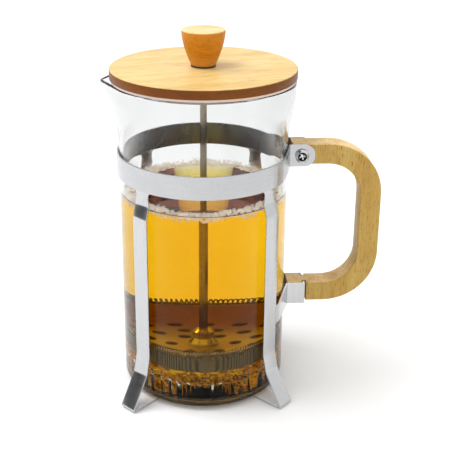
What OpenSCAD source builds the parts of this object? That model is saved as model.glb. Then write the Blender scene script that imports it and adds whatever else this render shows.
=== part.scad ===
// French press: a glass beaker in a stamped steel frame with a wooden handle,
// a wooden lid and a plunger with a perforated, spring-edged filter.
// Units are millimetres, +Z is up and the table is z = 0.
// The handle points along +X and the pouring spout along -X.

/* [Beaker] */
// Outer radius of the straight glass wall
glass_r = 49; // [47:0.5:51]
// Wall thickness of the glass
glass_t = 2.1; // [1.8:0.1:2.6]
// Thickness of the glass base
glass_base = 3.2; // [2.5:0.1:4]
// Height of the glass rim above the table
rim_z = 188; // [184:1:192]
// Outer radius of the flared rim
rim_r = 52.8; // [52.2:0.1:53.4]
// Height where the mouth starts to flare
flare_z = 152; // [149:1:156]
// Distance of the spout's tip from the beaker's axis
spout_reach = 58.6; // [57.6:0.2:61]

/* [Frame] */
// Thickness of the frame's sheet steel
steel_t = 1; // [0.8:0.1:1.2]
// Clearance between the glass and the band
band_gap = 0.35; // [0.3:0.05:0.4]
// Underside of the band above the table
band_z = 133.2; // [132.4:0.2:134]
// Height of the band
band_h = 13.2; // [12.4:0.2:14]
// Width of a leg strap
leg_w = 10.4; // [8:0.2:12]
// Width of a leg's neck, where it leaves the band
neck_w = 8.8; // [7:0.2:9.8]
// Distance of a foot's fold from the beaker's axis
foot_r = 65.6; // [62:0.2:68]
// Height of the crease where a leg starts to flare out
crease_z = 19; // [14:0.5:21]

/* [Handle] */
// Thickness of the wooden handle
wood_t = 13; // [11:0.5:15]
// Outermost reach of the handle from the beaker's axis
handle_reach = 105; // [103:0.5:112]
// Underside of the handle above the table
handle_z = 48.6; // [47:0.2:50]
// Height of the handle
handle_h = 101; // [100.4:0.2:101.4]
// Height of the handle's two arms
arm_h = 12.4; // [11.4:0.1:13]
// Width of the handle's grip
grip_w = 12.6; // [11.6:0.2:15]
// Distance of the clamp screw from the beaker's axis
screw_x = 56.6; // [56:0.2:57.4]

/* [Lid] */
// Radius of the wooden lid
lid_r = 53.2; // [53:0.1:55]
// Thickness of the wooden lid
lid_t = 5.6; // [5:0.1:7]
// Height of the knob
knob_h = 20; // [18:0.2:24]
// Radius of the knob's top
knob_top_r = 12.4; // [11:0.1:14]
// Radius of the knob's foot
knob_foot_r = 7.1; // [6.8:0.1:9]

/* [Plunger] */
// Radius of the plunger rod
rod_r = 2; // [1.8:0.1:2.2]
// Underside of the perforated plate, with the plunger pressed down
plate_z = 24; // [23:0.1:24.6]
// Radius of the holes in the perforated plate
hole_r = 2.9; // [2.4:0.1:3]
// Clearance between the filter's spring edge and the glass
filter_gap = 0.4; // [0.35:0.05:0.6]

/* [Hidden] */
$fn = 96;

// The origin is the middle of the object's footprint box, so the beaker's axis is off to one side.
axis_x = -(handle_reach - spout_reach) / 2;

// Clearance between touching pieces of one body, overlap inside one piece, and overlap of a clean cut.
seat = 0.05;
weld = 0.01;
cut = 1;
// Further than any part of the object reaches.
far = 250;

// Beaker
base_z = steel_t + seat;
glass_in = glass_r - glass_t;
floor_z = base_z + glass_base;
base_round = 5;
floor_round = 4;
flare_h = 28;
flare_steps = 12;
spout_h = 30;
spout_floor = 6;
spout_tip_r = 3;
spout_tip_h = 9;
spout_side_h = 12;
spout_root_r = glass_r - 2;
spout_angle = 21;

// Frame
band_in = glass_r + band_gap;
band_mid = band_in + steel_t / 2;
ear_bend = 13;
side_y = wood_t / 2;
ear_mid = side_y + steel_t / 2;
ear_end = 64.4;
ear_lift = 3.2;
ear_corner = 6;
step_x = 43;
leg_angle = 45;
joggle = 2.2;
joggle_top = band_z - 8;
joggle_low = band_z - 15.5;
neck_low = joggle_top + 5;
leg_mid = band_mid + joggle;
ease_out = 2.7;
ease_h = 16;
fold_r = 1.1;
return_r = 40;

// Lower straps: a narrow root on the leg widens to a plate that clips into the wood.
plate_low = handle_z - 1.2;
plate_high = handle_z + arm_h - 0.2;
root_low = handle_z + 0.2;
root_high = handle_z + 11;
root_run = 3;
plate_x = 50.6;
lip_x = 61;
lip_depth = 2.6;
slot_w = 2;
slot_depth = 3.2;
slot_top = handle_z + arm_h + cut;

// Handle
upper_x = 51.4;
lower_x = 51;
outer_round = 32;
inner_round = 20;
screw_r = 1.9;
screw_z = band_z + ear_lift + band_h / 2;
head_r = 4;
head_h = 2.3;
head_flank_h = 0.45 * head_h;
head_top_r = 0.72 * head_r;
head_low = side_y + steel_t + seat;
screw_tail = 0.8;
nut_flat = 7;
nut_h = 3;
recess_w = 1.1;
recess_l = 4.6;
recess_depth = 1.3;

// Lid
seal_t = 1.1;
seal_gap = 0.3;
seal_inset = 0.2;
lid_z = rim_z + seat + seal_t + seat;
pan_z = rim_z - 2.4;
pan_r = 45.9;
pan_lip_r = 48.2;
pan_t = 0.8;
seal_in = pan_r + seal_gap;
seal_out = rim_r - glass_t - seal_gap;
bush_r = 4.5;
bush_head_r = 6;
bush_head_h = 1.8;
bush_end_z = rim_z - 6.6;
lid_nut_flat = 13;
lid_nut_low = bush_end_z + 0.6;
run_gap = 0.08;
lid_top = lid_z + lid_t;
bush_top = lid_top - 2 * seat;

// Knob
washer_h = 0.8;
washer_r = 7.1;
washer_z = lid_top + 2 * seat;
knob_z = washer_z + washer_h + seat;
knob_edge = 1.6;
knob_swell = 1.6;
knob_steps = 10;
insert_r = 3.6;
insert_h = 12;

// Plunger and filter
plate_t = 0.8;
dish_out = 43.3;
dish_top = plate_z + 11;
mesh_t = 0.6;
mesh_z = plate_z - seat - mesh_t;
mesh_out = 44.1;
mesh_top = plate_z + 11.3;
filter_r = glass_in - filter_gap;
coil_minor = 1.55;
coil_major = filter_r - coil_minor;
coil_z = mesh_top + coil_minor + seat;
hub_z = plate_z + plate_t + seat;
hub_foot_r = 6.7;
hub_foot_h = 1.6;
hub_cone_low_r = 6.3;
hub_cone_top_r = 4.2;
hub_cone_h = 3.4;
hub_neck_r = 4.8;
hub_neck_h = 4;
hub_top_r = 3.2;
hub_top_h = 1.6;
cross_t = 1.2;
cross_r = 38;
cross_holes = 8;
cross_hole_r = 7.5;
cross_ring_r = 25;
cross_z = mesh_z - seat - cross_t;
nut_top = cross_z - seat;
nut_bottom = plate_z - 8;
bottom_flat = 11;
flange_r = 8.5;
flange_h = 0.8;
rod_bottom = plate_z - 9;
rod_top = knob_z + insert_h - seat;

wood = [0.87, 0.70, 0.45];
steel = [0.80, 0.81, 0.83];
dark_rubber = [0.12, 0.12, 0.12];

// Points of an arc about [cx, cy], from angle a0 to a1.
function arc(cx, cy, r, a0, a1, n) =
    [for (i = [0:n]) [cx + r * cos(a0 + (a1 - a0) * i / n), cy + r * sin(a0 + (a1 - a0) * i / n)]];

// Unit normal, to the left of the way from p to q.
function left_of(p, q) = [p[1] - q[1], q[0] - p[0]] / norm(q - p);

// Points of a path moved sideways by d, mitred at each corner.
function side_path(p, d) = [
    for (i = [0:len(p) - 1])
        let (a = left_of(p[max(i - 1, 0)], p[max(i, 1)]))
        let (b = left_of(p[min(i, len(p) - 2)], p[min(i + 1, len(p) - 1)]))
        p[i] + d * (a + b) / (1 + a * b)
];

// Outer radius of the glass mouth at height z.
function flare_share(z) = min(max((z - flare_z) / flare_h, 0), 1);
function mouth_r(z) = glass_r + (rim_r - glass_r) * (3 - 2 * flare_share(z)) * pow(flare_share(z), 2);

// A sheet-steel strip of even thickness that follows a path.
module strip(path, h) {
    linear_extrude(height = h)
        polygon(concat(side_path(path, steel_t / 2), [
            for (i = [len(path) - 1:-1:0]) side_path(path, -steel_t / 2)[i]
        ]));
}

// Puts a piece on the beaker's axis.
module on_axis() {
    translate([axis_x, 0, 0]) children();
}

module ring(outer, inner, low, high) {
    translate([0, 0, low])
        difference() {
            cylinder(h = high - low, r = outer);
            translate([0, 0, -cut]) cylinder(h = high - low + 2 * cut, r = inner);
        }
}

// A hole down the beaker's axis through the whole of a piece.
module bore(r) {
    translate([0, 0, -cut]) cylinder(h = far, r = r);
}

module hexagon(flat, h) {
    cylinder(h = h, r = flat / 2 / cos(30), $fn = 6);
}

// ---- Frame -------------------------------------------------------------

// Half of the band: round to the bend, straight on to the ear, and along the handle's side.
function band_path(s) = concat(
    [for (i = [0:40]) let (a = 180 - (180 - ear_bend) * i / 40) band_mid * [cos(a), s * sin(a)]],
    [[band_mid * cos(ear_bend) + (band_mid * sin(ear_bend) - ear_mid) * tan(ear_bend), s * ear_mid]],
    [[ear_end, s * ear_mid]]
);

// The band from the side: level round the glass, stepping up to two ears with round corners.
module band_side() {
    round_x = ear_end - ear_corner;
    translate([0, 0, band_z])
        rotate([90, 0, 0])
            linear_extrude(height = far, center = true)
                union() {
                    polygon([
                        [-far, 0],
                        [step_x, 0],
                        [band_mid, ear_lift],
                        [round_x, ear_lift],
                        [round_x, ear_lift + band_h],
                        [band_mid, ear_lift + band_h],
                        [step_x, band_h],
                        [-far, band_h]
                    ]);
                    translate([band_mid, ear_lift + ear_corner])
                        square([ear_end - band_mid, band_h - 2 * ear_corner]);
                    translate([round_x, ear_lift + ear_corner]) circle(r = ear_corner);
                    translate([round_x, ear_lift + band_h - ear_corner]) circle(r = ear_corner);
                }
}

module upper_band() {
    color(steel)
        on_axis()
            difference() {
                intersection() {
                    translate([0, 0, band_z])
                        union() {
                            strip(band_path(1), band_h + ear_lift);
                            strip(band_path(-1), band_h + ear_lift);
                        }
                    band_side();
                }
                translate([screw_x, 0, screw_z])
                    rotate([90, 0, 0])
                        cylinder(h = 40, r = screw_r + seat, center = true);
            }
}

// A leg in profile: down from the band, a joggle outwards, a flare, a fold and a foot under the glass.
function leg_path() = [
    [band_mid, band_z],
    [band_mid, joggle_top],
    [leg_mid, joggle_low],
    for (t = [0:0.25:1]) [leg_mid + ease_out * pow(t, 2), crease_z + ease_h * (1 - t)],
    [foot_r, steel_t / 2 + fold_r],
    [foot_r - 0.3 * fold_r, steel_t / 2 + 0.3 * fold_r],
    [foot_r - fold_r, steel_t / 2],
    [return_r, steel_t / 2]
];

module leg_outline() {
    polygon([
        [-leg_w / 2, -cut],
        [leg_w / 2, -cut],
        [leg_w / 2, joggle_top],
        [neck_w / 2, neck_low],
        [neck_w / 2, band_z],
        [-neck_w / 2, band_z],
        [-neck_w / 2, neck_low],
        [-leg_w / 2, joggle_top]
    ]);
}

module leg(angle) {
    color(steel)
        on_axis()
            rotate([0, 0, angle])
                intersection() {
                    translate([0, leg_w / 2, 0])
                        rotate([90, 0, 0])
                            strip(leg_path(), leg_w);
                    rotate([90, 0, 90])
                        linear_extrude(height = 2 * foot_r)
                            leg_outline();
                }
}

// A lower strap in plan: out of the leg's edge, to the handle's side, and in through its lip.
function root_point() = leg_mid * [cos(leg_angle), sin(leg_angle)]
    + (leg_w / 2) * [sin(leg_angle), -cos(leg_angle)];

module lower_strap(s) {
    path = [
        root_point(),
        root_point() + root_run * [sin(leg_angle), -cos(leg_angle)],
        [plate_x, ear_mid],
        [lip_x, ear_mid],
        [lip_x, ear_mid - lip_depth]
    ];
    color(steel)
        on_axis()
            mirror([0, s < 0 ? 1 : 0, 0])
                intersection() {
                    translate([0, 0, plate_low])
                        strip(path, plate_high - plate_low);
                    rotate([90, 0, 90])
                        linear_extrude(height = far)
                            polygon([
                                [0, plate_low],
                                [ear_mid + root_run, plate_low],
                                [root_point()[1] - root_run, root_low],
                                [root_point()[1] + root_run, root_low],
                                [root_point()[1] + root_run, root_high],
                                [root_point()[1] - root_run, root_high],
                                [ear_mid + root_run, plate_high],
                                [0, plate_high]
                            ]);
                }
}

// A rectangle with round right-hand corners, cut off at its own left side.
module half_round(x0, x1, y0, y1, r) {
    intersection() {
        translate([x0, y0]) square([x1 - x0, y1 - y0]);
        union() {
            translate([x0, y0]) square([x1 - r - x0, y1 - y0]);
            translate([x1 - r, y0 + r]) square([r, y1 - y0 - 2 * r]);
            translate([x1 - r, y0 + r]) circle(r = r);
            translate([x1 - r, y1 - r]) circle(r = r);
        }
    }
}

module handle_outline() {
    difference() {
        half_round(lower_x, handle_reach, handle_z, handle_z + handle_h, outer_round);
        half_round(0, handle_reach - grip_w, handle_z + arm_h, handle_z + handle_h - arm_h, inner_round);
        translate([0, handle_z + handle_h / 2]) square([upper_x, handle_h]);
    }
}

module handle() {
    color(wood)
        on_axis()
            difference() {
                rotate([90, 0, 0])
                    linear_extrude(height = wood_t, center = true)
                        handle_outline();
                translate([screw_x, 0, screw_z])
                    rotate([90, 0, 0])
                        cylinder(h = wood_t + 2 * cut, r = screw_r + seat, center = true);
                for (s = [-1, 1])
                    translate([lip_x, s * (side_y + (cut - slot_depth) / 2), slot_top / 2])
                        cube([slot_w, slot_depth + cut, slot_top], center = true);
            }
}

module clamp_screw() {
    tail_low = -(head_low + nut_h + screw_tail);
    color(steel)
        on_axis()
            translate([screw_x, 0, screw_z])
                rotate([90, 0, 0])
                    difference() {
                        union() {
                            translate([0, 0, head_low]) cylinder(h = head_flank_h, r = head_r);
                            translate([0, 0, head_low + head_flank_h])
                                cylinder(h = head_h - head_flank_h, r1 = head_r, r2 = head_top_r);
                            translate([0, 0, tail_low]) cylinder(h = head_low - tail_low, r = screw_r);
                        }
                        for (a = [45, 135])
                            translate([0, 0, head_low + head_h])
                                rotate([0, 0, a])
                                    cube([recess_l, recess_w, 2 * recess_depth], center = true);
                    }
}

module clamp_nut() {
    color(steel)
        on_axis()
            translate([screw_x, head_low, screw_z])
                rotate([-90, 0, 0])
                    difference() {
                        hexagon(nut_flat, nut_h);
                        translate([0, 0, -cut]) cylinder(h = nut_h + 2 * cut, r = screw_r + seat);
                    }
}

// ---- Beaker ------------------------------------------------------------

// Profile of the glass, outer side up and inner side down.
module glass_profile() {
    mouth = [for (i = [0:flare_steps]) flare_z + flare_h * i / flare_steps];
    lip_r = glass_t / 2;
    polygon(concat(
        [[0, base_z]],
        arc(glass_r - base_round, base_z + base_round, base_round, -90, 0, 8),
        [for (z = mouth) [mouth_r(z), z]],
        arc(rim_r - lip_r, rim_z - lip_r, lip_r, 0, 180, 8),
        [for (i = [flare_steps:-1:0]) [mouth_r(mouth[i]) - glass_t, mouth[i]]],
        arc(glass_in - floor_round, floor_z + floor_round, floor_round, 0, -90, 8),
        [[0, floor_z]]
    ));
}

// One of the posts whose hull is the spout. All of them end just under the rim, or top above that.
module spout_post(r, h, t, top) {
    translate([-r, 0, rim_z - h]) cylinder(h = h - 1 + top, r = spout_tip_r - t, $fn = 32);
}

// The spout's outside, or its inside when it is thinned by t.
module spout_body(t, top) {
    hull() {
        spout_post(spout_reach - spout_tip_r, spout_tip_h, t, top);
        for (a = [-spout_angle, spout_angle])
            rotate([0, 0, a]) spout_post(rim_r - spout_tip_r, spout_side_h, t, top);
        spout_post(spout_root_r, spout_h, t, top);
    }
}

module beaker() {
    color([0.85, 0.92, 0.92, 0.4])
        on_axis()
            difference() {
                union() {
                    rotate_extrude() glass_profile();
                    difference() {
                        spout_body(0, 0);
                        bore(glass_in);
                    }
                }
                intersection() {
                    spout_body(glass_t, 10);
                    translate([0, 0, rim_z - spout_h + spout_floor]) cylinder(h = 2 * spout_h, r = 2 * rim_r);
                }
                translate([0, 0, flare_z + flare_h]) cylinder(h = spout_h, r = rim_r - glass_t);
            }
}

// ---- Lid ---------------------------------------------------------------

module lid_seal() {
    color([0.93, 0.90, 0.86])
        on_axis()
            union() {
                ring(seal_out, seal_in, pan_z + pan_t + seat, rim_z + seat + weld);
                ring(rim_r - seal_inset, seal_in, rim_z + seat, rim_z + seat + seal_t);
            }
}

module lid_disc() {
    color(wood)
        on_axis()
            difference() {
                translate([0, 0, lid_z]) cylinder(h = lid_t, r = lid_r, $fn = 180);
                bore(bush_r + seat);
                translate([0, 0, bush_top - bush_head_h])
                    cylinder(h = cut + bush_head_h, r = bush_head_r + seat);
            }
}

module lid_pan() {
    color(steel)
        on_axis()
            union() {
                ring(pan_lip_r, bush_r + seat, pan_z, pan_z + pan_t);
                ring(pan_r, pan_r - pan_t, pan_z + pan_t - weld, lid_z - seat);
            }
}

module lid_bush() {
    color(steel)
        on_axis()
            difference() {
                union() {
                    translate([0, 0, bush_end_z]) cylinder(h = bush_top - bush_end_z, r = bush_r);
                    translate([0, 0, bush_top - bush_head_h]) cylinder(h = bush_head_h, r = bush_head_r);
                }
                bore(rod_r + run_gap);
            }
}

module lid_nut() {
    color(steel)
        on_axis()
            difference() {
                translate([0, 0, lid_nut_low]) hexagon(lid_nut_flat, pan_z - seat - lid_nut_low);
                bore(bush_r + seat);
            }
}

// ---- Knob and plunger --------------------------------------------------

// The knob's side swells and its top edge is rounded over.
module knob() {
    side = [for (i = [0:knob_steps]) [
        knob_top_r - (knob_top_r - knob_foot_r) * pow(1 - i / knob_steps, knob_swell),
        (knob_h - knob_edge) * i / knob_steps
    ]];
    color(wood)
        on_axis()
            translate([0, 0, knob_z])
                difference() {
                    rotate_extrude()
                        polygon(concat(
                            [[0, 0]],
                            side,
                            arc(knob_top_r - knob_edge, knob_h - knob_edge, knob_edge, 10, 90, 6),
                            [[0, knob_h]]
                        ));
                    translate([0, 0, -cut]) cylinder(h = cut + insert_h + seat, r = insert_r + seat);
                }
}

module knob_insert() {
    color([0.75, 0.62, 0.32])
        on_axis()
            ring(insert_r, rod_r + seat, knob_z, knob_z + insert_h);
}

module knob_washer() {
    color(dark_rubber)
        on_axis()
            ring(washer_r, rod_r + seat, washer_z, washer_z + washer_h);
}

module plunger_rod() {
    color(steel)
        on_axis()
            translate([0, 0, rod_bottom]) cylinder(h = rod_top - rod_bottom, r = rod_r);
}

// A stepped nut that clamps the filter stack on the rod.
module rod_hub() {
    neck_z = hub_z + hub_foot_h + hub_cone_h;
    color(steel)
        on_axis()
            difference() {
                union() {
                    translate([0, 0, hub_z]) cylinder(h = hub_foot_h, r = hub_foot_r);
                    translate([0, 0, hub_z + hub_foot_h])
                        cylinder(h = hub_cone_h, r1 = hub_cone_low_r, r2 = hub_cone_top_r);
                    translate([0, 0, neck_z]) cylinder(h = hub_neck_h, r = hub_neck_r);
                    translate([0, 0, neck_z + hub_neck_h])
                        cylinder(h = hub_top_h, r1 = hub_neck_r, r2 = hub_top_r);
                }
                bore(rod_r + seat);
            }
}

// Rings of holes: [ring radius, number of holes, first angle].
hole_rings = [[14, 6, 0], [23.5, 12, 15], [33.5, 18, 5]];

module filter_plate() {
    color(steel)
        on_axis()
            difference() {
                union() {
                    ring(dish_out, rod_r + seat, plate_z, plate_z + plate_t);
                    ring(dish_out, dish_out - plate_t, plate_z + plate_t - weld, dish_top);
                }
                for (row = hole_rings, i = [0:row[1] - 1])
                    rotate([0, 0, row[2] + 360 * i / row[1]])
                        translate([row[0], 0, plate_z - cut])
                            cylinder(h = plate_t + 2 * cut, r = hole_r, $fn = 24);
            }
}

module coil_spring() {
    color(steel)
        on_axis()
            translate([0, 0, coil_z])
                rotate_extrude()
                    translate([coil_major, 0]) circle(r = coil_minor, $fn = 24);
}

module mesh_screen() {
    color([0.6, 0.6, 0.6])
        on_axis()
            union() {
                ring(mesh_out, rod_r + seat, mesh_z, mesh_z + mesh_t);
                ring(mesh_out, dish_out + seat, mesh_z + mesh_t - weld, mesh_top);
                ring(filter_r, dish_out + seat, mesh_top - mesh_t, mesh_top);
            }
}

module cross_plate() {
    color(steel)
        on_axis()
            difference() {
                ring(cross_r, rod_r + seat, cross_z, cross_z + cross_t);
                for (i = [1:cross_holes])
                    rotate([0, 0, 360 * (i - 0.5) / cross_holes])
                        translate([cross_ring_r, 0, cross_z - cut])
                            cylinder(h = cross_t + 2 * cut, r = cross_hole_r);
            }
}

module bottom_nut() {
    color(steel)
        on_axis()
            difference() {
                union() {
                    translate([0, 0, nut_bottom]) hexagon(bottom_flat, nut_top - nut_bottom - flange_h);
                    translate([0, 0, nut_top - flange_h]) cylinder(h = flange_h, r = flange_r);
                }
                bore(rod_r + seat);
            }
}

upper_band();
leg(-180 + leg_angle);  // leg_front_left
leg(-leg_angle);  // leg_front_right
leg(180 - leg_angle);  // leg_back_left
leg(leg_angle);  // leg_back_right
lower_strap(-1);  // lower_strap_front
lower_strap(1);  // lower_strap_back
handle();
clamp_screw();
clamp_nut();
beaker();
lid_seal();
lid_disc();
lid_pan();
lid_bush();
lid_nut();
knob();
knob_insert();
knob_washer();
plunger_rod();
rod_hub();
filter_plate();
coil_spring();
mesh_screen();
cross_plate();
bottom_nut();
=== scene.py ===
"""Looks of a french press: glass beaker with tea, stamped steel frame, wooden handle, lid and knob.

Everything is in metres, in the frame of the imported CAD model. The beaker's axis is x = AXIS, y = 0.
"""

import math
import random

import bmesh
import bpy
from mathutils import Matrix, Vector

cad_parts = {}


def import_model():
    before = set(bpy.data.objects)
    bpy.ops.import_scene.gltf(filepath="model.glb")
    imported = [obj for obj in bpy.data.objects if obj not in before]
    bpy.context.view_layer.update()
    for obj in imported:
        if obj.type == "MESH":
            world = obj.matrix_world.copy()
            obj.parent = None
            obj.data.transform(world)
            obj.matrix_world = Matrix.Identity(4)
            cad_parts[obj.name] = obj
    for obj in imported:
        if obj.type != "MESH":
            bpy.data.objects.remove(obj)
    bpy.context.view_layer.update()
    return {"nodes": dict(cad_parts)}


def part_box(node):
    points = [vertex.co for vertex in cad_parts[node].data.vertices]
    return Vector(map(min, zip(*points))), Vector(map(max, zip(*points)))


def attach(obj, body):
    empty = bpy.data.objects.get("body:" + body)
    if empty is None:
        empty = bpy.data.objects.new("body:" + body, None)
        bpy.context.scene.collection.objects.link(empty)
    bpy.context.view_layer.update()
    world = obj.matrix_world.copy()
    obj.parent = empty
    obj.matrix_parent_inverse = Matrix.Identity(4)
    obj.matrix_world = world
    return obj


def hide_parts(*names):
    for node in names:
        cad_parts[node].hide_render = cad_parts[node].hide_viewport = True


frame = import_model()

MM = 0.001
DEG = math.pi / 180

# ---- Sizes of the CAD model -----------------------------------------------------------------

ROD_LOW, ROD_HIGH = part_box("plunger_rod")
AXIS = (ROD_LOW.x + ROD_HIGH.x) / 2
BEAKER_LOW, BEAKER_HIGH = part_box("beaker")
BAND_LOW, BAND_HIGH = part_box("upper_band")
HANDLE_LOW, HANDLE_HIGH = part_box("handle")
LID_LOW, LID_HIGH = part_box("lid_disc")
KNOB_LOW, KNOB_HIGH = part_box("knob")
COIL_LOW, COIL_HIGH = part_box("coil_spring")
SCREEN_LOW, SCREEN_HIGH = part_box("mesh_screen")

RIM_Z = BEAKER_HIGH.z
RIM_R = 52.8 * MM
GLASS_R = 49 * MM
GLASS_T = 2.1 * MM
GLASS_IN = GLASS_R - GLASS_T
GLASS_FLOOR = BEAKER_LOW.z + 3.2 * MM
FLARE_Z = 152 * MM
FLARE_H = 28 * MM
SPOUT_REACH = AXIS - BEAKER_LOW.x

STEEL_T = 1 * MM
BAND_MID = GLASS_R + 0.85 * MM
LEG_MID = BAND_MID + 2.2 * MM
LEG_W = 10.4 * MM
NECK_W = 8.8 * MM
CREASE_Z = 19 * MM
FOOT_R = 65.6 * MM
RETURN_R = 40 * MM
SCREW_X = AXIS + 56.6 * MM
SCREW_Z = BAND_HIGH.z - 6.6 * MM

ARM_H = 12.4 * MM
GRIP_W = 12.6 * MM
UPPER_X = AXIS + 51.4 * MM
LIP_X = AXIS + 61 * MM

TEA_Z = BAND_LOW.z - 11.6 * MM

# ---- Meshes ---------------------------------------------------------------------------------


def link(name, data):
    """A new object in the scene."""
    obj = bpy.data.objects.new(name, data)
    bpy.context.scene.collection.objects.link(obj)
    return obj


def mesh_object(name, verts, faces, sharp=None):
    """A smooth object from points and faces; edges sharper than `sharp` degrees stay crisp."""
    mesh = bpy.data.meshes.new(name)
    mesh.from_pydata([tuple(v) for v in verts], [], faces)
    mesh.validate()
    bm = bmesh.new()
    bm.from_mesh(mesh)
    bmesh.ops.recalc_face_normals(bm, faces=bm.faces)
    bm.to_mesh(mesh)
    bm.free()
    mesh.shade_smooth()
    if sharp is not None:
        mesh.set_sharp_from_angle(angle=sharp * DEG)
    return link(name, mesh)


def grid_faces(rows, columns, wrap_rows=False, wrap_columns=True):
    """Quads between `rows` rows of `columns` points each."""
    faces = []
    for i in range(rows if wrap_rows else rows - 1):
        low, high = i * columns, (i + 1) % rows * columns
        for j in range(columns if wrap_columns else columns - 1):
            k = (j + 1) % columns
            faces.append((low + j, low + k, high + k, high + j))
    return faces


def loft(name, rings, sharp, closed=False):
    """A skin over rings that all have the same number of points, with end caps unless it is closed."""
    count = len(rings[0])
    verts = [p for ring in rings for p in ring]
    faces = grid_faces(len(rings), count, wrap_rows=closed)
    if not closed:
        faces.append(tuple(range(count)))
        faces.append(tuple(range((len(rings) - 1) * count, len(rings) * count)))
    return mesh_object(name, verts, faces, sharp=sharp)


def lathe(name, profile, segments, push=None, sharp=35):
    """Turns (radius, height) points about the beaker's axis; the profile's ends may be on the axis.

    Push gives how far a point at an angle and a height is moved outwards.
    """
    verts, faces, rows = [], [], []
    for r, z in profile:
        if r == 0:
            rows.append([len(verts)])
            verts.append(Vector((AXIS, 0, z)))
            continue
        row = []
        for j in range(segments):
            a = 2 * math.pi * j / segments
            reach = r + (push(a, z) if push else 0)
            row.append(len(verts))
            verts.append(Vector((AXIS + reach * math.cos(a), reach * math.sin(a), z)))
        rows.append(row)
    for low, high in zip(rows, rows[1:]):
        for j in range(segments):
            k = (j + 1) % segments
            if len(low) == 1:
                faces.append((low[0], high[j], high[k]))
            elif len(high) == 1:
                faces.append((low[j], high[0], low[k]))
            else:
                faces.append((low[j], low[k], high[k], high[j]))
    if len(rows[0]) > 1 and len(rows[-1]) > 1:
        for j in range(segments):
            k = (j + 1) % segments
            faces.append((rows[-1][j], rows[-1][k], rows[0][k], rows[0][j]))
    return mesh_object(name, verts, faces, sharp=sharp)


def arc(cx, cy, r, a0, a1, steps):
    """Points of an arc from a0 to a1 degrees."""
    angles = [(a0 + (a1 - a0) * i / steps) * DEG for i in range(steps + 1)]
    return [(cx + r * math.cos(a), cy + r * math.sin(a)) for a in angles]


def rounded(points, radii, steps):
    """An open path with its corners rounded; radii holds one radius for each inner point.

    A corner takes a little less than half of each side that meets there.
    """
    out = [Vector(points[0])]
    for i in range(1, len(points) - 1):
        p, a, b = Vector(points[i]), Vector(points[i - 1]), Vector(points[i + 1])
        u, v = (a - p).normalized(), (b - p).normalized()
        reach = min(radii[i - 1] / math.tan(u.angle(v) / 2), (a - p).length / 2.01, (b - p).length / 2.01)
        start, end = p + u * reach, p + v * reach
        for k in range(steps + 1):
            t = k / steps
            out.append(start * (1 - t) ** 2 + p * 2 * t * (1 - t) + end * t**2)
    out.append(Vector(points[-1]))
    return out


def dense(path, step):
    """A path with no gap longer than step."""
    out = [path[0]]
    for a, b in zip(path, path[1:]):
        n = max(1, math.ceil((b - a).length / step))
        out += [a.lerp(b, k / n) for k in range(1, n + 1)]
    return out


def side_ring(half_w, half_t, edge, steps):
    """A rounded rectangle as (across, through) points."""
    ring = []
    for cx, cy, a0 in ((1, 1, 0), (-1, 1, 90), (-1, -1, 180), (1, -1, 270)):
        ring += arc(cx * (half_w - edge), cy * (half_t - edge), edge, a0, a0 + 90, steps)
    return ring


def bubbles(name, spots, detail=2, inwards=False):
    """One object made of balls; spots holds (centre, radius, squash). Air in a liquid faces inwards."""
    unit = bmesh.new()
    bmesh.ops.create_icosphere(unit, subdivisions=detail, radius=1)
    points = [v.co.copy() for v in unit.verts]
    corners = [[v.index for v in (reversed(f.verts) if inwards else f.verts)] for f in unit.faces]
    unit.free()
    verts, faces = [], []
    for centre, radius, squash in spots:
        start = len(verts)
        size = (radius, radius, radius * squash)
        verts += [tuple(c + r * x for c, r, x in zip(centre, size, p)) for p in points]
        faces += [[start + i for i in face] for face in corners]
    mesh = bpy.data.meshes.new(name)
    mesh.from_pydata(verts, [], faces)
    mesh.shade_smooth()
    return link(name, mesh)


def from_bmesh(name, bm):
    """A smooth object from a bmesh, which is used up."""
    mesh = bpy.data.meshes.new(name)
    bm.to_mesh(mesh)
    bm.free()
    mesh.shade_smooth()
    return link(name, mesh)


# ---- Materials ------------------------------------------------------------------------------


class Nodes:
    """A node tree that is built call by call."""

    def __init__(self, tree):
        self.tree = tree

    def put(self, node, key, value):
        """Links a socket to an input, or sets the input's value."""
        if isinstance(value, bpy.types.NodeSocket):
            self.tree.links.new(value, node.inputs[key])
        else:
            node.inputs[key].default_value = value

    def add(self, kind, sockets, **settings):
        """A new node, with values or links for its inputs and with its own settings."""
        node = self.tree.nodes.new("ShaderNode" + kind)
        for key, value in settings.items():
            setattr(node, key, value)
        for key, value in sockets.items():
            self.put(node, key, value)
        return node

    def level(self, value, low, high, out_low, out_high, **settings):
        sockets = {"Value": value, "From Min": low, "From Max": high, "To Min": out_low, "To Max": out_high}
        return self.add("MapRange", sockets, **settings).outputs["Result"]

    def maths(self, operation, a, b=0.0, **settings):
        return self.add("Math", {0: a, 1: b}, operation=operation, **settings).outputs[0]


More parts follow.
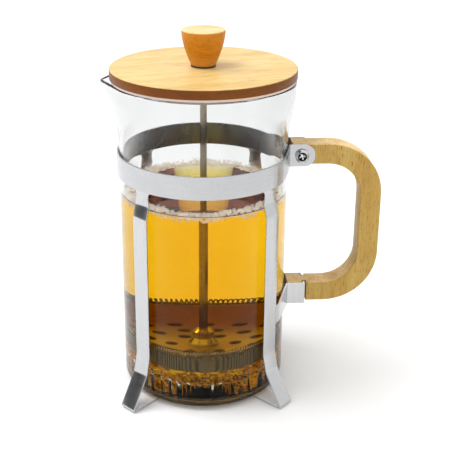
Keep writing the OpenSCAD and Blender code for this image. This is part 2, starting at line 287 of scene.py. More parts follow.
class Finish(Nodes):
    """A material with a Principled shader."""

    def __init__(self, name, **sockets):
        self.material = bpy.data.materials.new(name)
        self.material.use_nodes = True
        super().__init__(self.material.node_tree)
        self.shader = self.tree.nodes["Principled BSDF"]
        self.output = self.tree.nodes["Material Output"]
        for key, value in sockets.items():
            self.put(self.shader, key.replace("_", " "), value)

    def place(self, stretch=(1, 1, 1), turn=(0, 0, 0)):
        """Object coordinates, turned by degrees and drawn out by stretch."""
        coords = self.add("TexCoord", {})
        turn = tuple(t * DEG for t in turn)
        sockets = {"Vector": coords.outputs["Object"], "Rotation": turn, "Scale": stretch}
        return self.add("Mapping", sockets, vector_type="TEXTURE").outputs[0]

    def noise(self, where, scale, detail, rough=0.5, warp=0.0):
        sockets = {"Vector": where, "Scale": scale, "Detail": detail, "Roughness": rough, "Distortion": warp}
        return self.add("TexNoise", sockets).outputs["Fac"]

    def ramp(self, value, *stops):
        node = self.add("ValToRGB", {"Fac": value})
        elements = node.color_ramp.elements
        while len(elements) < len(stops):
            elements.new(0.5)
        for element, (at, colour) in zip(elements, stops):
            element.position = at
            element.color = (*colour, 1)
        return node.outputs["Color"]

    def mix(self, factor, a, b, mode="MIX"):
        """Mixes two colours, which are inputs 6 and 7 and output 2 of the node."""
        node = self.add("Mix", {}, data_type="RGBA", blend_type=mode)
        self.put(node, 0, factor)
        self.put(node, 6, a if isinstance(a, bpy.types.NodeSocket) else (*a, 1))
        self.put(node, 7, b if isinstance(b, bpy.types.NodeSocket) else (*b, 1))
        return node.outputs[2]

    def upward(self):
        """The Z part of the surface normal."""
        geometry = self.add("NewGeometry", {})
        return self.add("SeparateXYZ", {"Vector": geometry.outputs["Normal"]}).outputs["Z"]

    def inward(self):
        """One where a face looks towards the beaker's axis, else zero; the mask for painted shade on inner
        faces.
        """
        geometry = self.add("NewGeometry", {}).outputs
        from_axis = self.add("VectorMath", {0: geometry["Position"], 1: (AXIS, 0, 0)}, operation="SUBTRACT")
        flat = self.add("VectorMath", {0: from_axis.outputs[0], 1: (1, 1, 0)}, operation="MULTIPLY")
        sockets = {0: flat.outputs[0], 1: geometry["Normal"]}
        facing = self.add("VectorMath", sockets, operation="DOT_PRODUCT")
        return self.level(facing.outputs["Value"], -0.004, -0.012, 0, 1)

    def volume(self, colour, density):
        """Absorbs light on its way through the solid."""
        node = self.add("VolumeAbsorption", {"Color": (*colour, 1), "Density": density})
        self.put(self.output, "Volume", node.outputs[0])

    def bump(self, height, strength, distance):
        node = self.add("Bump", {"Height": height, "Strength": strength, "Distance": distance})
        self.put(self.shader, "Normal", node.outputs["Normal"])

    def set(self, key, value):
        """Puts an input of the shader; calls can follow each other."""
        self.put(self.shader, key, value)
        return self


def wood(name, turn, pale, mid, deep, side, flecks):
    """Lacquered wood; turn is the grain's turn from X, and side is painted shade: a tint that darkens faces
    that aren't level, so that level tops stay lighter.
    """
    f = Finish(name)
    along = f.place(stretch=(9, 1, 1), turn=turn)
    broad = f.noise(along, 70, 4, 0.55, 0.6)
    fine = f.noise(along, 620, 3, 0.6)
    pores = f.noise(f.place(stretch=(7, 1, 1), turn=turn), 1500, 1.5, 0.5)
    base = f.ramp(broad, (0.30, deep), (0.47, mid), (0.66, pale))
    lines = f.ramp(fine, (0.34, (0.80, 0.74, 0.66)), (0.52, (1, 1, 1)))
    base = f.mix(0.75, base, lines, "MULTIPLY")
    dots = f.ramp(pores, (0.30, (0.52, 0.36, 0.22)), (0.37, (1, 1, 1)))
    base = f.mix(flecks, base, dots, "MULTIPLY")
    # Painted shade: faces that aren't level are multiplied by the side tint.
    flat = f.level(f.maths("ABSOLUTE", f.upward()), 0.35, 0.8, 0, 1)
    base = f.mix(flat, f.mix(1.0, base, side, "MULTIPLY"), base)
    f.set("Base Color", base)
    f.set("Roughness", f.level(fine, 0.3, 0.7, 0.50, 0.36))
    f.set("Specular IOR Level", 0.22)
    height = f.maths("ADD", f.maths("MULTIPLY", fine, 0.5), f.level(pores, 0.3, 0.4, 0, 0.5))
    f.bump(height, 0.25, 0.0002)
    return f.material


def steel(name, tone, rough, stretch, scale, spots=0.0, painted_inner_shade=1.0, painted_white_top=0.0, metal=1.0):
    """Stainless steel with fine lines that stretch draws out.

    The inner shade value darkens faces that look at the axis with painted shade, the white top value turns
    level faces matt white as a painted reflection of white surroundings, and metal below one lets a sheet
    scatter some light.
    """
    f = Finish(name, Metallic=metal)
    where = f.place(stretch=stretch)
    lines = f.noise(where, scale, 2, 0.6)
    cloud = f.noise(f.place(), 55, 3, 0.6)
    dark = tuple(c * 0.86 for c in tone)
    base = f.mix(f.level(lines, 0.3, 0.7, 0, 1), dark, tone)
    if spots:
        base = f.mix(f.level(cloud, 0.42, 0.62, 0, spots), base, tuple(c * 0.5 for c in tone))
    # Painted shade: faces that look at the axis are darkened.
    if painted_inner_shade < 1:
        base = f.mix(f.inward(), base, f.mix(1.0, base, (painted_inner_shade, painted_inner_shade, painted_inner_shade), "MULTIPLY"))
    # Painted reflection: level faces are turned matt white and almost not metallic.
    if painted_white_top:
        up = f.level(f.upward(), 0.85, 0.95, 0, painted_white_top)
        base = f.mix(up, base, (0.97, 0.97, 0.97))
        f.set("Metallic", f.level(up, 0, 1, 1, 0.1))
    f.set("Base Color", base)
    f.set("Roughness", f.level(cloud, 0.35, 0.65, rough * 0.8, rough * 1.25))
    f.bump(lines, 0.12, 0.0001)
    return f.material


# The band steel paints shade on faces that look at the axis.
BRUSHED_BAND = steel("band steel", (0.52, 0.525, 0.54), 0.26, (90, 90, 1), 9000, painted_inner_shade=0.5)
# The leg steel paints a white reflection on its level faces.
BRUSHED_LEG = steel("leg steel", (0.56, 0.565, 0.575), 0.24, (1, 1, 70), 3200, painted_white_top=0.9)
POLISHED = steel("polished steel", (0.66, 0.66, 0.67), 0.13, (1, 1, 30), 2500)
ROD = steel("rod steel", (0.36, 0.30, 0.23), 0.22, (1, 1, 30), 2500)
# The filter's pale warm tone is partly a tea film and partly painted light for a plate that the lid and tea
# leave dim.
FILTER = steel("filter steel", (0.84, 0.75, 0.62), 0.36, (1, 1, 1), 1800, 0.15, metal=0.6)
SPRING = steel("spring steel", (0.44, 0.41, 0.34), 0.22, (1, 1, 1), 2600)

# The side tints below are painted shade on faces that aren't level.
HANDLE_WOOD = wood(
    "handle wood",
    (0, 90, 0),
    pale=(0.84, 0.63, 0.31),
    mid=(0.74, 0.50, 0.20),
    deep=(0.60, 0.37, 0.13),
    side=(0.63, 0.57, 0.32),
    flecks=0.85,
)
LID_WOOD = wood(
    "lid wood",
    (0, 0, 14),
    pale=(0.72, 0.53, 0.23),
    mid=(0.68, 0.48, 0.19),
    deep=(0.61, 0.40, 0.14),
    side=(0.25, 0.10, 0.004),
    flecks=0.3,
)
KNOB_WOOD = wood(
    "knob wood",
    (0, 0, 8),
    pale=(0.84, 0.62, 0.34),
    mid=(0.78, 0.54, 0.25),
    deep=(0.66, 0.42, 0.17),
    side=(0.69, 0.36, 0.025),
    flecks=0.35,
)


def glass_finish():
    """Clear glass; the low specular tint keeps the white studio from veiling what is behind it."""
    f = Finish("beaker glass", Metallic=0.0, Roughness=0.0, IOR=1.47)
    f.set("Transmission Weight", 1.0).set("Specular Tint", (0.12, 0.12, 0.12, 1))
    f.volume((0.30, 0.32, 0.33), 62)
    waves = f.noise(f.place(stretch=(1, 1, 3)), 60, 1)
    f.set("Base Color", f.ramp(waves, (0.3, (0.90, 0.905, 0.905)), (0.7, (0.925, 0.93, 0.93))))
    f.bump(waves, 0.05, 0.001)
    return f.material


def tea_finish():
    """Clear tea; its colour comes from how far light goes through it."""
    f = Finish("tea", Roughness=0.0, IOR=1.333)
    f.set("Transmission Weight", 1.0).set("Specular Tint", (0.1, 0.1, 0.1, 1))
    cloud = f.noise(f.place(), 40, 2)
    f.set("Base Color", f.ramp(cloud, (0.35, (0.99, 0.985, 0.97)), (0.65, (1, 1, 1))))
    f.volume((0.995, 0.875, 0.03), 60)
    return f.material


def bubble_finish(name, colour, ior, weight, glow=0.0):
    """Bubbles; glow stands in for the light that packed bubbles pass to each other."""
    f = Finish(name, Roughness=0.02, IOR=ior)
    f.set("Transmission Weight", weight)
    f.set("Emission Color", (*colour, 1)).set("Emission Strength", glow)
    spots = f.noise(f.place(), 900, 2)
    f.set("Base Color", f.ramp(spots, (0.35, tuple(c * 0.9 for c in colour)), (0.6, colour)))
    return f.material


def plain_finish(name, colour, rough, grain, strength):
    """Rubber, silicone or brass: a base tone with fine grain in colour, roughness and height."""
    f = Finish(name)
    specks = f.noise(f.place(), grain, 3)
    f.set("Base Color", f.ramp(specks, (0.35, tuple(c * 0.85 for c in colour)), (0.65, colour)))
    f.set("Roughness", f.level(specks, 0.3, 0.7, rough * 0.85, rough * 1.15))
    f.bump(specks, strength, 0.0002)
    return f


def leaf_finish():
    """Wet leaves, from nearly black to orange; a faint glow stands for light that comes through them."""
    f = Finish("tea leaves")
    patch = f.noise(f.place(), 170, 2)
    base = f.ramp(patch, (0.36, (0.16, 0.07, 0.01)), (0.44, (0.75, 0.32, 0.02)), (0.52, (1.0, 0.55, 0.07)))
    f.set("Base Color", base).set("Specular IOR Level", 0.06)
    f.set("Emission Color", base).set("Emission Strength", 0.2)
    f.set("Roughness", f.level(patch, 0.3, 0.7, 0.3, 0.5))
    f.bump(f.noise(f.place(), 1200, 3), 0.8, 0.0002)
    return f.material


def screw_finish():
    """Bright rim, and a centre painted near black as a dark reflection, with a bright cross left in it."""
    f = Finish("screw steel", Metallic=1.0)
    coords = f.add("TexCoord", {}).outputs["Object"]
    place = f.add("Mapping", {"Vector": coords, "Location": (-SCREW_X, 0, -SCREW_Z)}).outputs[0]
    turned = f.add("Mapping", {"Vector": place, "Rotation": (0, 20 * DEG, 0), "Scale": (1, 0, 1)})
    parts = f.add("SeparateXYZ", {"Vector": turned.outputs[0]})
    arm = f.maths("MINIMUM", f.maths("ABSOLUTE", parts.outputs[0]), f.maths("ABSOLUTE", parts.outputs[2]))
    reach = f.add("VectorMath", {0: turned.outputs[0]}, operation="LENGTH").outputs["Value"]
    # Painted reflection: the head's centre is painted near black, except for the cross.
    dark = f.level(reach, 2.9 * MM, 2.6 * MM, 0, 1)
    thin, short = f.level(arm, 0.55 * MM, 0.4 * MM, 0, 1), f.level(reach, 1.9 * MM, 1.6 * MM, 0, 1)
    cross = f.maths("MULTIPLY", thin, short)
    grime = f.noise(f.place(), 900, 2)
    bright = f.ramp(grime, (0.3, (0.55, 0.55, 0.56)), (0.7, (0.70, 0.70, 0.71)))
    base = f.mix(f.maths("SUBTRACT", dark, cross), bright, (0.012, 0.012, 0.016))
    f.set("Base Color", base)
    f.set("Roughness", f.level(grime, 0.3, 0.7, 0.14, 0.24))
    return f.material


GLASS = glass_finish()
TEA = tea_finish()
FOAM = bubble_finish("foam", (1.0, 0.95, 0.88), 1.2, 0.8, 0.10)
AIR = bubble_finish("air in tea", (1.0, 0.97, 0.9), 1.333, 1.0)
SCREW = screw_finish()
SILICONE = plain_finish("silicone", (0.66, 0.54, 0.49), 0.45, 1500, 0.1).material
RUBBER = plain_finish("black rubber", (0.025, 0.024, 0.023), 0.55, 2500, 0.3).material
BRASS = plain_finish("brass", (0.72, 0.55, 0.26), 0.3, 2000, 0.1).set("Metallic", 1.0).material
LEAVES = leaf_finish()


def screen_finish():
    """Woven gauze: two crossing sets of fine waves make colour and height."""
    f = Finish("gauze", Metallic=0.6)
    f.set("Specular IOR Level", 0.1)
    weave = []
    for turn in (0, 90):
        sockets = {"Vector": f.place(turn=(0, 0, turn)), "Scale": 520.0}
        weave.append(f.add("TexWave", sockets, wave_profile="SIN").outputs["Fac"])
    knots = f.maths("MULTIPLY", weave[0], weave[1])
    # The brown tone is partly a tea stain and partly painted shade for the dim space under the filter.
    f.set("Base Color", f.ramp(knots, (0.08, (0.12, 0.09, 0.05)), (0.55, (0.56, 0.44, 0.29))))
    f.set("Roughness", f.level(knots, 0, 1, 0.5, 0.3))
    f.bump(knots, 0.6, 0.0003)
    return f.material


GAUZE = screen_finish()

# ---- CAD nodes that stay --------------------------------------------------------------------

NODE_FINISH = {
    "upper_band": BRUSHED_BAND,
    "lower_strap_front": BRUSHED_LEG,
    "lower_strap_back": BRUSHED_LEG,
    "clamp_screw": SCREW,
    "clamp_nut": POLISHED,
    "lid_seal": SILICONE,
    "lid_pan": BRUSHED_BAND,
    "lid_bush": POLISHED,
    "lid_nut": POLISHED,
    "knob_insert": BRASS,
    "knob_washer": RUBBER,
    "plunger_rod": ROD,
    "rod_hub": POLISHED,
    "filter_plate": FILTER,
    "cross_plate": GAUZE,
    "bottom_nut": POLISHED,
}
for node_name, finish in NODE_FINISH.items():
    node_mesh = frame["nodes"][node_name].data
    node_mesh.materials.clear()
    node_mesh.materials.append(finish)


def piece(obj, finish, body, slot_name, *cad_nodes):
    """Gives a new object its finish and the body it rides on, and hides the CAD nodes it stands for;
    slot_name is not used.
    """
    obj.data.materials.clear()
    obj.data.materials.append(finish)
    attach(obj, body)
    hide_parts(*cad_nodes)


# ---- Beaker ---------------------------------------------------------------------------------

SPOUT_ANGLE = math.acos(RIM_R / SPOUT_REACH)
SPOUT_DROP = 36 * MM
SPOUT_ROUND = 1.5 * DEG
SPOUT_CURVE = 2.2


def smooth_step(t):
    """A smooth rise from zero to one as t goes from zero to one."""
    t = min(max(t, 0), 1)
    return t * t * (3 - 2 * t)


def wall_radius(z):
    """Outer radius of the glass at height z."""
    return GLASS_R + (RIM_R - GLASS_R) * smooth_step((z - FLARE_Z) / FLARE_H)


def spout_push(a, z):
    """How far the glass is drawn out to the spout along -X, a V that leaves the rim smoothly."""
    away = math.hypot(a - math.pi, SPOUT_ROUND) - SPOUT_ROUND
    if away >= SPOUT_ANGLE or z <= RIM_Z - SPOUT_DROP:
        return 0
    height = min((z - RIM_Z + SPOUT_DROP) / SPOUT_DROP, 1)
    return (RIM_R / math.cos(SPOUT_ANGLE - away) - RIM_R) * height**SPOUT_CURVE


def beaker():
    """A straight wall on a rounded base with a slight hollow, a flared mouth and a spout."""
    base, mid = BEAKER_LOW.z, GLASS_T / 2
    foot, fillet = 5 * MM, 4 * MM
    wall_steps, mouth_steps = 8, 30
    heights = [base + foot + (FLARE_Z - base - foot) * i / wall_steps for i in range(wall_steps)]
    heights += [FLARE_Z + (RIM_Z - mid - FLARE_Z) * i / mouth_steps for i in range(mouth_steps + 1)]
    profile = [(0, base + 0.9 * MM), (20 * MM, base + 0.8 * MM), (36 * MM, base + 0.3 * MM), (41 * MM, base)]
    profile += arc(GLASS_R - foot, base + foot, foot, -90, 0, 10)[:-1]
    profile += [(wall_radius(z), z) for z in heights]
    profile += arc(RIM_R - mid, RIM_Z - mid, mid, 0, 180, 10)[1:-1]
    profile += [(wall_radius(z) - GLASS_T, z) for z in reversed(heights)]
    profile += arc(GLASS_IN - fillet, GLASS_FLOOR + fillet, fillet, 0, -90, 10)
    profile += [(20 * MM, GLASS_FLOOR), (0, GLASS_FLOOR)]
    return lathe("beaker_glass", profile, 240, spout_push, sharp=None)


piece(beaker(), GLASS, "glass_beaker", "glass", "beaker")

# ---- Tea and its bubbles --------------------------------------------------------------------

INTO_GLASS = 0.3 * MM
CLIMB_H = 1.1 * MM
CLIMB_W = 3.2 * MM


def tea():
    """The drink, which overlaps the glass a little and climbs up it at the edge."""
    wall, low, fillet = GLASS_IN + INTO_GLASS, GLASS_FLOOR - INTO_GLASS, 4 * MM
    wall_steps, climb_steps = 6, 8
    profile = [(0, low), (20 * MM, low)]
    profile += arc(wall - fillet, low + fillet, fillet, -90, 0, 10)
    profile += [(wall, low + (TEA_Z - low) * i / wall_steps) for i in range(1, wall_steps)]
    for i in range(climb_steps + 1):
        t = i / climb_steps
        profile.append((wall - CLIMB_W * t**1.6, TEA_Z + CLIMB_H * (1 - t) ** 2.2))
    profile += [(30 * MM, TEA_Z), (0, TEA_Z)]
    return lathe("tea_liquid", profile, 192, sharp=60)


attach(tea(), "glass_beaker").data.materials.append(TEA)

rng = random.Random(7)

FOAM_COUNT, AIR_COUNT, LEAF_COUNT = 2600, 90, 1500
# Radii in millimetres, and how far the foam goes below and above the surface at the glass.
FOAM_SIZES = (0.4, 0.5, 0.6, 0.75, 1.0)
FOAM_SPREAD = (-2.6, 2.8)
FOAM_DEPTH = 6.5 * MM
FOAM_TAPER = 8 * MM
AIR_SIZES = (0.35, 0.5, 0.7, 0.95)
AIR_DEPTH = 14 * MM
AIR_TOP = 12 * MM
# Angle and radius in millimetres of each large bubble under the front of the spring.
LARGE_AIR = (
    (-97, 2.7),
    (-84.5, 2.8),
    (-73, 2.6),
    (-107, 1.8),
    (-115, 1.5),
    (-122, 1.2),
    (-64, 1.5),
    (-57, 1.1),
)
LEAF_REACH = 45 * MM
LEAF_TOP = 16 * MM


def at(a, r, z):
    """The point at angle a and radius r from the beaker's axis."""
    return AXIS + r * math.cos(a), r * math.sin(a), z


def foam_ring():
    """Bubbles that cling to the glass all round, where the tea's surface meets it."""
    spots = []
    for _ in range(FOAM_COUNT):
        a = rng.uniform(0, 2 * math.pi)
        size = rng.choice(FOAM_SIZES) * MM * rng.uniform(0.85, 1.15)
        inwards = rng.random() ** 1.6 * FOAM_DEPTH
        wave = 0.8 * MM * math.sin(9 * a) * math.sin(4 * a + 1)
        z = TEA_Z + wave + rng.uniform(*FOAM_SPREAD) * MM * (1 - inwards / FOAM_TAPER)
        spots.append((at(a, GLASS_IN - size - 0.15 * MM - inwards, z), size, rng.uniform(0.85, 1)))
    return bubbles("foam_ring", spots)


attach(foam_ring(), "glass_beaker").data.materials.append(FOAM)


def air_bubbles():
    """Air trapped under the filter's spring and among the leaves."""
    spots = []
    for a, size in LARGE_AIR:
        size *= MM
        spots.append((at(a * DEG, GLASS_IN - size - 0.5 * MM, COIL_LOW.z - 1.2 * MM), size, 0.86))
    for _ in range(AIR_COUNT):
        size = rng.choice(AIR_SIZES) * MM
        r = GLASS_IN - size - 0.3 * MM - rng.random() ** 2 * AIR_DEPTH
        low = 5 * MM if r > 42 * MM else 0
        z = GLASS_FLOOR + size + 0.5 * MM + max(low, rng.random() ** 1.6 * AIR_TOP)
        spots.append((at(rng.uniform(0, 2 * math.pi), r, z), size, 1))
    return bubbles("air_bubbles", spots, 3, inwards=True)


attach(air_bubbles(), "glass_beaker").data.materials.append(AIR)


def tea_leaves():
    """Curled flakes of leaf on the beaker's floor."""
    bm = bmesh.new()
    for _ in range(LEAF_COUNT):
        a, r = rng.uniform(0, 2 * math.pi), LEAF_REACH * rng.random() ** 0.25
        low = max(1.0 * MM, r - LEAF_REACH + 2.5 * MM)
        height = max(low, rng.uniform(low, LEAF_TOP) * rng.uniform(0.25, 1))
        spot = Vector(at(a, r, GLASS_FLOOR + height))
        long, wide = rng.uniform(1.5, 3.8) * MM, rng.uniform(0.5, 1.3) * MM
        turn = Matrix.Rotation(rng.uniform(0, math.pi), 3, "Z")
        turn = turn @ Matrix.Rotation(rng.uniform(-0.5, 0.5), 3, "Y")
        rows = []
        for i in range(5):
            t = i / 4 - 0.5
            half = wide * math.sqrt(max(1 - (2 * t) ** 2, 0.08))
            bend = 0.9 * wide * (4 * t * t)
            row = [Vector((t * long, s * half, bend + abs(s) * 0.35 * wide)) for s in (-1, 0, 1)]
            rows.append([bm.verts.new(spot + turn @ p) for p in row])
        for lower, upper in zip(rows, rows[1:]):
            for j in range(2):
                bm.faces.new((lower[j], lower[j + 1], upper[j + 1], upper[j]))
    obj = from_bmesh("tea_leaves", bm)
    thick = obj.modifiers.new("thickness", "SOLIDIFY")
    thick.thickness = 0.25 * MM
    return obj


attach(tea_leaves(), "glass_beaker").data.materials.append(LEAVES)

# ---- Wood -----------------------------------------------------------------------------------


def lid():
    """The wooden disc, with a hole for the bush and a recess for the bush's head."""
    top, low = LID_HIGH.z, LID_LOW.z
    r = (LID_HIGH.y - LID_LOW.y) / 2
    hole, head, head_h = 4.6 * MM, 6.1 * MM, 1.9 * MM
    low_edge, top_edge = 0.5 * MM, 0.8 * MM
    profile = [(hole, low), (30 * MM, low)]
    profile += arc(r - low_edge, low + low_edge, low_edge, -90, 0, 5)
    profile += arc(r - top_edge, top - top_edge, top_edge, 0, 90, 6)
    profile += [(30 * MM, top), (head, top), (head, top - head_h), (hole, top - head_h)]
    return lathe("lid_board", profile, 216)


piece(lid(), LID_WOOD, "lid", "lid_wood", "lid_disc")


def knob():
    """The turned knob, slender at the foot and flat on top, with a bore for its insert."""
    low, high = KNOB_LOW.z, KNOB_HIGH.z
    top_r, foot_r = (KNOB_HIGH.y - KNOB_LOW.y) / 2, 7.1 * MM
    bore_r, bore_top = 3.7 * MM, low + 12 * MM
    edge, foot_edge, steps = 1.1 * MM, 0.4 * MM, 24
    profile = [(0, bore_top), (bore_r, bore_top), (bore_r, low), (foot_r - foot_edge, low)]
    profile += arc(foot_r - foot_edge, low + foot_edge, foot_edge, -90, 0, 4)[1:]
    for i in range(1, steps + 1):
        t = i / steps
        r = top_r - (top_r - foot_r) * (1 - t) ** 1.6
        profile.append((r, low + foot_edge + (high - low - edge - foot_edge) * t))
    profile += arc(top_r - edge, high - edge, edge, 0, 90, 8)[1:]
    profile += [(top_r * 0.5, high), (0, high)]
    return lathe("knob_turned", profile, 144)


piece(knob(), KNOB_WOOD, "plunger", "knob_wood", "knob")


def handle():
    """The D-shaped handle: a rounded cross-section that follows the outer and the inner outline."""
    top, low, reach = HANDLE_HIGH.z, HANDLE_LOW.z, HANDLE_HIGH.x
    outer_r, inner_r, steps, ring_gap = 32 * MM, 20 * MM, 24, 6 * MM
    half_y, edge = (HANDLE_HIGH.y - HANDLE_LOW.y) / 2, 1.1 * MM
    inner_x = reach - GRIP_W
    outer = [(UPPER_X, top)] + arc(reach - outer_r, top - outer_r, outer_r, 90, 0, steps)
    outer += arc(reach - outer_r, low + outer_r, outer_r, 0, -90, steps) + [(HANDLE_LOW.x, low)]
    inner = [(UPPER_X, top - ARM_H)] + arc(inner_x - inner_r, top - ARM_H - inner_r, inner_r, 90, 0, steps)
    inner += arc(inner_x - inner_r, low + ARM_H + inner_r, inner_r, 0, -90, steps)
    inner += [(HANDLE_LOW.x, low + ARM_H)]
    pairs = [(Vector(o), Vector(i)) for o, i in zip(outer, inner)]
    filled = []
    for (o, i), (p, j) in zip(pairs, pairs[1:]):
        parts = max(1, round((p - o).length / ring_gap))
        filled += [(o.lerp(p, k / parts), i.lerp(j, k / parts)) for k in range(parts)]
    filled.append(pairs[-1])
    rings = []
    for o, i in filled:
        mid, across = (o + i) / 2, (o - i)
        width = across.length
        across.normalize()
        flat = [(mid + across * u, v) for u, v in side_ring(width / 2, half_y, edge, 4)]
        rings.append([Vector((p.x, v, p.y)) for p, v in flat])
    obj = loft("handle_wood_d", rings, sharp=40)
    slots = bmesh.new()
    slot_size = Matrix.Diagonal((2.6 * MM, 5.2 * MM, 40 * MM, 1))
    for s in (-1, 1):
        place = Matrix.Translation((LIP_X + 0.2 * MM, s * (half_y - 0.6 * MM), low))
        bmesh.ops.create_cube(slots, size=1, matrix=place @ slot_size)
    cutter = from_bmesh("cutter", slots)
    cut = obj.modifiers.new("slots", "BOOLEAN")
    cut.object, cut.solver = cutter, "EXACT"
    bpy.context.view_layer.update()
    cut_mesh = bpy.data.meshes.new_from_object(obj.evaluated_get(bpy.context.evaluated_depsgraph_get()))
    obj.modifiers.clear()
    obj.data = cut_mesh
    bpy.data.objects.remove(cutter)
    cut_mesh.set_sharp_from_angle(angle=40 * DEG)
    return obj


piece(handle(), HANDLE_WOOD, "frame", "handle_wood", "handle")

# ---- Steel frame ----------------------------------------------------------------------------


def leg_path():
    """The leg's middle line in its own plane: (distance from the axis, height)."""
    in_band, fold, back = 0.4 * MM, 1.6 * MM, STEEL_T / 2
    # Where the joggle, the straight strap, the flare and the foot begin.
    joggle, strap, flare, foot = 8 * MM, 15.5 * MM, 12 * MM, 1 * MM
    corners = [
        (BAND_MID, BAND_LOW.z + in_band),
        (BAND_MID, BAND_LOW.z - joggle),
        (LEG_MID, BAND_LOW.z - strap),
        (LEG_MID, CREASE_Z + flare),
        (LEG_MID + 2.4 * MM, CREASE_Z + foot),
        (FOOT_R, fold),
        (FOOT_R - fold, back),
        (RETURN_R, back),
    ]
    radii = (5 * MM, 5 * MM, 18 * MM, 6 * MM, 1.1 * MM, 1.4 * MM)
    return dense(rounded(corners, radii, 5), 2 * MM)


def leg_half_width(z, at_band):
    """Half the strip's width: flared at the band, then a neck, then curved shoulders to full width."""
    neck_h, shoulder_h, flare_h, flare_w = 2.6 * MM, 5.5 * MM, 2.2 * MM, 1.6 * MM
    below = BAND_LOW.z - z
    grow = smooth_step((below - neck_h) / shoulder_h)
    half = (NECK_W + (LEG_W - NECK_W) * grow) / 2
    flare = max(0, 1 - max(below, 0) / flare_h) if at_band else 0
    return half + flare_w * flare**2


def leg(name, angle):
    """A strip along the leg's path, hollowed to the band's curve near the band."""
    path = leg_path()
    out = Vector((math.cos(angle * DEG), math.sin(angle * DEG), 0))
    aside = Vector((-out.y, out.x, 0))
    rings = []
    for i, p in enumerate(path):
        ahead = (path[min(i + 1, len(path) - 1)] - path[max(i - 1, 0)]).normalized()
        normal = out * (-ahead.y) + Vector((0, 0, ahead.x))
        centre = Vector((AXIS, 0, 0)) + out * p.x + Vector((0, 0, p.y))
        at_band = i < len(path) / 2
        near_band = smooth_step(1 - (BAND_LOW.z - p.y) / (9 * MM)) if at_band else 0
        ring = []
        for u, v in side_ring(leg_half_width(p.y, at_band), STEEL_T / 2, 0.22 * MM, 2):
            sag = near_band * (u * u) / (2 * BAND_MID)
            ring.append(centre + aside * u + normal * v - out * sag)
        rings.append(ring)
    return loft(name, rings, sharp=50)


for leg_name, leg_angle in (
    ("leg_front_left", -135),
    ("leg_front_right", -45),
    ("leg_back_left", 135),
    ("leg_back_right", 45),
):
    piece(leg(leg_name + "_strip", leg_angle), BRUSHED_LEG, "frame", "steel_brushed", leg_name)

# ---- Filter ---------------------------------------------------------------------------------


def coil():
    """The wire spring round the filter's edge."""
    wire, turns, per_turn, sides = 0.36 * MM, 176, 12, 6
    section = arc(0, 0, wire, 0, 360, sides)[:-1]
    minor = (COIL_HIGH.z - COIL_LOW.z) / 2 - wire
    major = (COIL_HIGH.y - COIL_LOW.y) / 2 - minor - wire
    mid_z = (COIL_HIGH.z + COIL_LOW.z) / 2
    count = turns * per_turn
    rings = []
    for i in range(count):
        a = 2 * math.pi * i / count
        b = 2 * math.pi * i / per_turn
        out = Vector((math.cos(a), math.sin(a), 0))
        radial = out * math.cos(b) + Vector((0, 0, math.sin(b)))
        centre = Vector((AXIS, 0, mid_z)) + out * major + radial * minor
        side = Vector((-out.y, out.x, 0))
        rings.append([centre + radial * u + side * v for u, v in section])
    return loft("coil_wire", rings, closed=True, sharp=None)


piece(coil(), SPRING, "plunger", "filter_steel", "coil_spring")


def screen():
    """The gauze under the plate, turned up round the plate's rim."""
    low, high = SCREEN_LOW.z, SCREEN_HIGH.z
    edge, wall = (COIL_HIGH.y - COIL_LOW.y) / 2, 43.9 * MM
    skin = [(2.2 * MM, low), (30 * MM, low), (42.6 * MM, low), (wall - 0.2 * MM, low + 0.6 * MM)]
    skin += [(wall, low + 2 * MM), (wall, high - 1.6 * MM), (44.2 * MM, high - 0.7 * MM)]
    skin += [(edge - 0.3 * MM, high - 0.5 * MM)]
    back = [(r - 0.1 * MM, z + 0.45 * MM) for r, z in reversed(skin)]
    return lathe("gauze_screen", skin + back, 144, sharp=50)


piece(screen(), GAUZE, "plunger", "mesh_steel", "mesh_screen")

# ---- Stage, light and camera ----------------------------------------------------------------


def floor():
    """The pale table that the object stands on."""
    reach, rows = 1.3, 8
    places = [reach * (2 * i / rows - 1) for i in range(rows + 1)]
    verts = [Vector((AXIS + x, y, 0)) for x in places for y in places]
    obj = mesh_object("floor", verts, grid_faces(rows + 1, rows + 1, wrap_columns=False))
    f = Finish("pale floor", Roughness=0.75)
    grain = f.noise(f.place(), 12, 4)
    f.set("Base Color", f.ramp(grain, (0.3, (0.90, 0.90, 0.895)), (0.7, (0.93, 0.93, 0.925))))
    f.set("Specular IOR Level", 0.2)
    obj.data.materials.append(f.material)


WORLD_STRENGTH = 1.07
# Each card's direction, the cosines where it begins and is full, and its share of the light there.
CARDS = (
    ((-0.95, -0.02, 0.28), 0.80, 0.91, 0.06),
    ((0.10, -1.0, 0.25), 0.60, 0.95, 0.55),
)


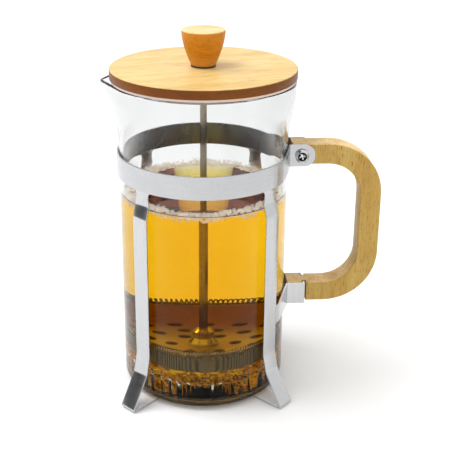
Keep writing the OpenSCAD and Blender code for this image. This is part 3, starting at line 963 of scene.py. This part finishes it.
def world():
    """A white studio; in reflections it has a dark card on the left and is grey in front."""
    made = bpy.data.worlds.new("studio")
    made.use_nodes = True
    bpy.context.scene.world = made
    nodes = Nodes(made.node_tree)
    coords = nodes.add("TexCoord", {}).outputs["Generated"]
    share = 1.0
    for direction, start, full, low in CARDS:
        sockets = {0: coords, 1: Vector(direction).normalized()}
        cosine = nodes.add("VectorMath", sockets, operation="DOT_PRODUCT").outputs["Value"]
        card = nodes.level(cosine, start, full, 1.0, low, interpolation_type="SMOOTHSTEP")
        share = nodes.maths("MULTIPLY", share, card)
    rays = nodes.add("LightPath", {}).outputs
    reflected = nodes.maths("SUBTRACT", rays["Is Glossy Ray"], rays["Is Transmission Ray"], use_clamp=True)
    carded = nodes.maths("MULTIPLY", share, WORLD_STRENGTH)
    strength = nodes.add("Mix", {0: reflected, 2: WORLD_STRENGTH, 3: carded}).outputs[0]
    back = made.node_tree.nodes["Background"]
    nodes.put(back, "Strength", strength)
    nodes.put(back, "Color", (1, 1, 1, 1))


def softbox(name, spot, target, size, watts):
    """A round area light that faces its target."""
    lamp = bpy.data.lights.new(name, "AREA")
    lamp.shape, lamp.size, lamp.energy = "DISK", size, watts
    obj = link(name, lamp)
    obj.location = spot
    obj.rotation_euler = (Vector(target) - Vector(spot)).to_track_quat("-Z", "Y").to_euler()


def camera():
    """The viewing angle: a little to the left of square on, from above."""
    turn, pitch = 2.6 * DEG, 20.0 * DEG
    distance, height = 0.5016, 0.3144
    cam = link("camera", bpy.data.cameras.new("camera"))
    cam.location = (AXIS - distance * math.sin(turn), -distance * math.cos(turn), height)
    look = Vector((math.sin(turn) * math.cos(pitch), math.cos(turn) * math.cos(pitch), -math.sin(pitch)))
    cam.rotation_mode = "QUATERNION"
    cam.rotation_quaternion = look.to_track_quat("-Z", "Y")
    cam.data.sensor_width = 36
    cam.data.lens = 72.77
    cam.data.shift_x, cam.data.shift_y = 0.048, -0.12
    cam.data.clip_start, cam.data.clip_end = 0.01, 50
    bpy.context.scene.camera = cam


floor()
world()
softbox("key", (-0.6, 0.05, 1.3), (0, 0, 0.1), 0.8, 11)
camera()
bpy.context.scene.view_settings.view_transform = "Standard"

# Light crosses many faces of glass, tea and bubbles.
BOUNCES = 32
bpy.context.scene.cycles.max_bounces = BOUNCES
bpy.context.scene.cycles.transmission_bounces = BOUNCES
